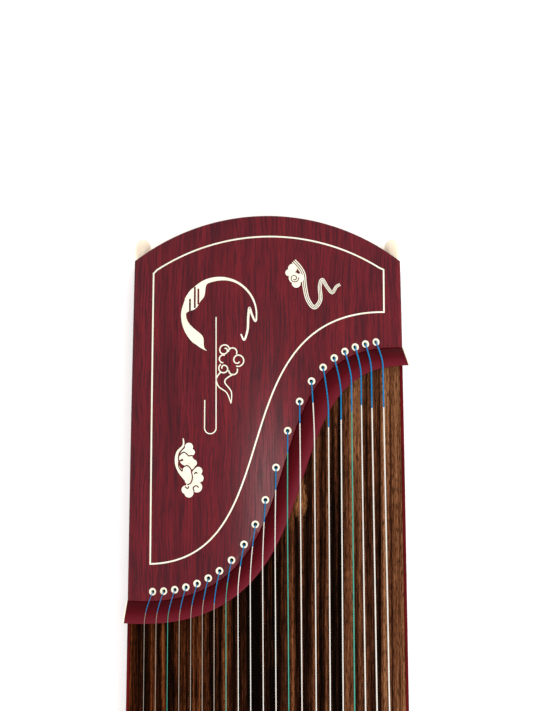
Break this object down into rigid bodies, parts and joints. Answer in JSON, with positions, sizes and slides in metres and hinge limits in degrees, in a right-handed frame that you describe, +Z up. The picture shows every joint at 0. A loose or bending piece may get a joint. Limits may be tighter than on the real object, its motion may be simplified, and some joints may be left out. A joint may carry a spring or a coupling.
{
  "type": "guzheng",
  "caption": "Plucked zither with an arched soundboard, S-shaped fixed bridge, movable bridges, tuning pins and a hinged head lid.",
  "frame": {"origin": "on the floor, at the middle of the bounding box's bottom", "axes": "+X along the instrument towards the head and its tuning pins, +Y from the player's side to the far side, +Z up"},
  "size_m": [1.63, 0.353, 0.1727],
  "materials": {
    "soundboard_wood": "satin lacquer over scorched zebra grain",
    "burgundy_veneer": "gloss lacquer over rosewood veneer",
    "red_lacquer": "gloss lacquer",
    "paulownia": "plain",
    "bridge_wood": "satin",
    "bone": "polished",
    "string": "nylon wound over steel",
    "steel": "satin",
    "brass": "satin"
  },
  "bodies": {
    "soundbox": {"soundboard": "soundboard_wood", "tail_board": "burgundy_veneer", "rear_bridge": "burgundy_veneer", "head_board": "burgundy_veneer", "near_side_board": "red_lacquer", "far_side_board": "red_lacquer", "head_end_panel": "red_lacquer", "near_foot_tip": "bone", "far_foot_tip": "bone", "back_board": "paulownia", "tail_block": "red_lacquer", "inner_braces": "paulownia", "pin_block": "bridge_wood", "front_bridge": "bridge_wood", "lid_hinge_fixed_leaf": "brass", "strings": "string"},
    "lid": {"head_lid": "burgundy_veneer", "lid_hinge_moving_leaf": "brass"},
    "bridge_01": {"bridge_01": "bridge_wood"},
    "bridge_02": {"bridge_02": "bridge_wood"},
    "bridge_03": {"bridge_03": "bridge_wood"},
    "bridge_04": {"bridge_04": "bridge_wood"},
    "bridge_05": {"bridge_05": "bridge_wood"},
    "bridge_06": {"bridge_06": "bridge_wood"},
    "bridge_07": {"bridge_07": "bridge_wood"},
    "bridge_08": {"bridge_08": "bridge_wood"},
    "bridge_09": {"bridge_09": "bridge_wood"},
    "bridge_10": {"bridge_10": "bridge_wood"},
    "bridge_11": {"bridge_11": "bridge_wood"},
    "bridge_12": {"bridge_12": "bridge_wood"},
    "bridge_13": {"bridge_13": "bridge_wood"},
    "bridge_14": {"bridge_14": "bridge_wood"},
    "bridge_15": {"bridge_15": "bridge_wood"},
    "bridge_16": {"bridge_16": "bridge_wood"},
    "bridge_17": {"bridge_17": "bridge_wood"},
    "bridge_18": {"bridge_18": "bridge_wood"},
    "bridge_19": {"bridge_19": "bridge_wood"},
    "bridge_20": {"bridge_20": "bridge_wood"},
    "bridge_21": {"bridge_21": "bridge_wood"},
    "tuning_pin_01": {"tuning_pin_01": "steel"},
    "tuning_pin_02": {"tuning_pin_02": "steel"},
    "tuning_pin_03": {"tuning_pin_03": "steel"},
    "tuning_pin_04": {"tuning_pin_04": "steel"},
    "tuning_pin_05": {"tuning_pin_05": "steel"},
    "tuning_pin_06": {"tuning_pin_06": "steel"},
    "tuning_pin_07": {"tuning_pin_07": "steel"},
    "tuning_pin_08": {"tuning_pin_08": "steel"},
    "tuning_pin_09": {"tuning_pin_09": "steel"},
    "tuning_pin_10": {"tuning_pin_10": "steel"},
    "tuning_pin_11": {"tuning_pin_11": "steel"},
    "tuning_pin_12": {"tuning_pin_12": "steel"},
    "tuning_pin_13": {"tuning_pin_13": "steel"},
    "tuning_pin_14": {"tuning_pin_14": "steel"},
    "tuning_pin_15": {"tuning_pin_15": "steel"},
    "tuning_pin_16": {"tuning_pin_16": "steel"},
    "tuning_pin_17": {"tuning_pin_17": "steel"},
    "tuning_pin_18": {"tuning_pin_18": "steel"},
    "tuning_pin_19": {"tuning_pin_19": "steel"},
    "tuning_pin_20": {"tuning_pin_20": "steel"},
    "tuning_pin_21": {"tuning_pin_21": "steel"}
  },
  "joints": [
    {"name": "lid_swing", "type": "hinge", "parent": "soundbox", "child": "lid", "pos_m": [0.791, 0, 0.11812], "axis": [0, 1, 0], "range_deg": [0, 110]},
    {"name": "bridge_01_slide", "type": "slide", "parent": "soundbox", "child": "bridge_01", "axis": [1, 0, 0], "range_m": [-0.003, 0.003], "deforming": ["strings"]},
    {"name": "bridge_02_slide", "type": "slide", "parent": "soundbox", "child": "bridge_02", "axis": [1, 0, 0], "range_m": [-0.003, 0.003], "deforming": ["strings"]},
    {"name": "bridge_03_slide", "type": "slide", "parent": "soundbox", "child": "bridge_03", "axis": [1, 0, 0], "range_m": [-0.004, 0.004], "deforming": ["strings"]},
    {"name": "bridge_04_slide", "type": "slide", "parent": "soundbox", "child": "bridge_04", "axis": [1, 0, 0], "range_m": [-0.005, 0.005], "deforming": ["strings"]},
    {"name": "bridge_05_slide", "type": "slide", "parent": "soundbox", "child": "bridge_05", "axis": [1, 0, 0], "range_m": [-0.006, 0.006], "deforming": ["strings"]},
    {"name": "bridge_06_slide", "type": "slide", "parent": "soundbox", "child": "bridge_06", "axis": [1, 0, 0], "range_m": [-0.008, 0.008], "deforming": ["strings"]},
    {"name": "bridge_07_slide", "type": "slide", "parent": "soundbox", "child": "bridge_07", "axis": [1, 0, 0], "range_m": [-0.009, 0.009], "deforming": ["strings"]},
    {"name": "bridge_08_slide", "type": "slide", "parent": "soundbox", "child": "bridge_08", "axis": [1, 0, 0], "range_m": [-0.01, 0.01], "deforming": ["strings"]},
    {"name": "bridge_09_slide", "type": "slide", "parent": "soundbox", "child": "bridge_09", "axis": [1, 0, 0], "range_m": [-0.012, 0.012], "deforming": ["strings"]},
    {"name": "bridge_10_slide", "type": "slide", "parent": "soundbox", "child": "bridge_10", "axis": [1, 0, 0], "range_m": [-0.014, 0.014], "deforming": ["strings"]},
    {"name": "bridge_11_slide", "type": "slide", "parent": "soundbox", "child": "bridge_11", "axis": [1, 0, 0], "range_m": [-0.016, 0.016], "deforming": ["strings"]},
    {"name": "bridge_12_slide", "type": "slide", "parent": "soundbox", "child": "bridge_12", "axis": [1, 0, 0], "range_m": [-0.018, 0.018], "deforming": ["strings"]},
    {"name": "bridge_13_slide", "type": "slide", "parent": "soundbox", "child": "bridge_13", "axis": [1, 0, 0], "range_m": [-0.02, 0.02], "deforming": ["strings"]},
    {"name": "bridge_14_slide", "type": "slide", "parent": "soundbox", "child": "bridge_14", "axis": [1, 0, 0], "range_m": [-0.02, 0.02], "deforming": ["strings"]},
    {"name": "bridge_15_slide", "type": "slide", "parent": "soundbox", "child": "bridge_15", "axis": [1, 0, 0], "range_m": [-0.02, 0.02], "deforming": ["strings"]},
    {"name": "bridge_16_slide", "type": "slide", "parent": "soundbox", "child": "bridge_16", "axis": [1, 0, 0], "range_m": [-0.02, 0.02], "deforming": ["strings"]},
    {"name": "bridge_17_slide", "type": "slide", "parent": "soundbox", "child": "bridge_17", "axis": [1, 0, 0], "range_m": [-0.02, 0.02], "deforming": ["strings"]},
    {"name": "bridge_18_slide", "type": "slide", "parent": "soundbox", "child": "bridge_18", "axis": [1, 0, 0], "range_m": [-0.02, 0.02], "deforming": ["strings"]},
    {"name": "bridge_19_slide", "type": "slide", "parent": "soundbox", "child": "bridge_19", "axis": [1, 0, 0], "range_m": [-0.02, 0.02], "deforming": ["strings"]},
    {"name": "bridge_20_slide", "type": "slide", "parent": "soundbox", "child": "bridge_20", "axis": [1, 0, 0], "range_m": [-0.02, 0.02], "deforming": ["strings"]},
    {"name": "bridge_21_slide", "type": "slide", "parent": "soundbox", "child": "bridge_21", "axis": [1, 0, 0], "range_m": [-0.02, 0.02], "deforming": ["strings"]},
    {"name": "tuning_pin_01_turn", "type": "hinge", "parent": "soundbox", "child": "tuning_pin_01", "pos_m": [0.716, -0.1409, 0], "axis": [0, 0, 1], "continuous": true},
    {"name": "tuning_pin_02_turn", "type": "hinge", "parent": "soundbox", "child": "tuning_pin_02", "pos_m": [0.744, -0.12637, 0], "axis": [0, 0, 1], "continuous": true},
    {"name": "tuning_pin_03_turn", "type": "hinge", "parent": "soundbox", "child": "tuning_pin_03", "pos_m": [0.688, -0.11184, 0], "axis": [0, 0, 1], "continuous": true},
    {"name": "tuning_pin_04_turn", "type": "hinge", "parent": "soundbox", "child": "tuning_pin_04", "pos_m": [0.716, -0.09731, 0], "axis": [0, 0, 1], "continuous": true},
    {"name": "tuning_pin_05_turn", "type": "hinge", "parent": "soundbox", "child": "tuning_pin_05", "pos_m": [0.744, -0.08278, 0], "axis": [0, 0, 1], "continuous": true},
    {"name": "tuning_pin_06_turn", "type": "hinge", "parent": "soundbox", "child": "tuning_pin_06", "pos_m": [0.688, -0.06825, 0], "axis": [0, 0, 1], "continuous": true},
    {"name": "tuning_pin_07_turn", "type": "hinge", "parent": "soundbox", "child": "tuning_pin_07", "pos_m": [0.716, -0.05372, 0], "axis": [0, 0, 1], "continuous": true},
    {"name": "tuning_pin_08_turn", "type": "hinge", "parent": "soundbox", "child": "tuning_pin_08", "pos_m": [0.744, -0.03919, 0], "axis": [0, 0, 1], "continuous": true},
    {"name": "tuning_pin_09_turn", "type": "hinge", "parent": "soundbox", "child": "tuning_pin_09", "pos_m": [0.688, -0.02466, 0], "axis": [0, 0, 1], "continuous": true},
    {"name": "tuning_pin_10_turn", "type": "hinge", "parent": "soundbox", "child": "tuning_pin_10", "pos_m": [0.716, -0.01013, 0], "axis": [0, 0, 1], "continuous": true},
    {"name": "tuning_pin_11_turn", "type": "hinge", "parent": "soundbox", "child": "tuning_pin_11", "pos_m": [0.744, 0.0044, 0], "axis": [0, 0, 1], "continuous": true},
    {"name": "tuning_pin_12_turn", "type": "hinge", "parent": "soundbox", "child": "tuning_pin_12", "pos_m": [0.688, 0.01893, 0], "axis": [0, 0, 1], "continuous": true},
    {"name": "tuning_pin_13_turn", "type": "hinge", "parent": "soundbox", "child": "tuning_pin_13", "pos_m": [0.716, 0.03346, 0], "axis": [0, 0, 1], "continuous": true},
    {"name": "tuning_pin_14_turn", "type": "hinge", "parent": "soundbox", "child": "tuning_pin_14", "pos_m": [0.744, 0.04799, 0], "axis": [0, 0, 1], "continuous": true},
    {"name": "tuning_pin_15_turn", "type": "hinge", "parent": "soundbox", "child": "tuning_pin_15", "pos_m": [0.688, 0.06252, 0], "axis": [0, 0, 1], "continuous": true},
    {"name": "tuning_pin_16_turn", "type": "hinge", "parent": "soundbox", "child": "tuning_pin_16", "pos_m": [0.716, 0.07705, 0], "axis": [0, 0, 1], "continuous": true},
    {"name": "tuning_pin_17_turn", "type": "hinge", "parent": "soundbox", "child": "tuning_pin_17", "pos_m": [0.744, 0.09158, 0], "axis": [0, 0, 1], "continuous": true},
    {"name": "tuning_pin_18_turn", "type": "hinge", "parent": "soundbox", "child": "tuning_pin_18", "pos_m": [0.688, 0.10611, 0], "axis": [0, 0, 1], "continuous": true},
    {"name": "tuning_pin_19_turn", "type": "hinge", "parent": "soundbox", "child": "tuning_pin_19", "pos_m": [0.716, 0.12064, 0], "axis": [0, 0, 1], "continuous": true},
    {"name": "tuning_pin_20_turn", "type": "hinge", "parent": "soundbox", "child": "tuning_pin_20", "pos_m": [0.744, 0.13517, 0], "axis": [0, 0, 1], "continuous": true},
    {"name": "tuning_pin_21_turn", "type": "hinge", "parent": "soundbox", "child": "tuning_pin_21", "pos_m": [0.688, 0.1497, 0], "axis": [0, 0, 1], "continuous": true}
  ]
}
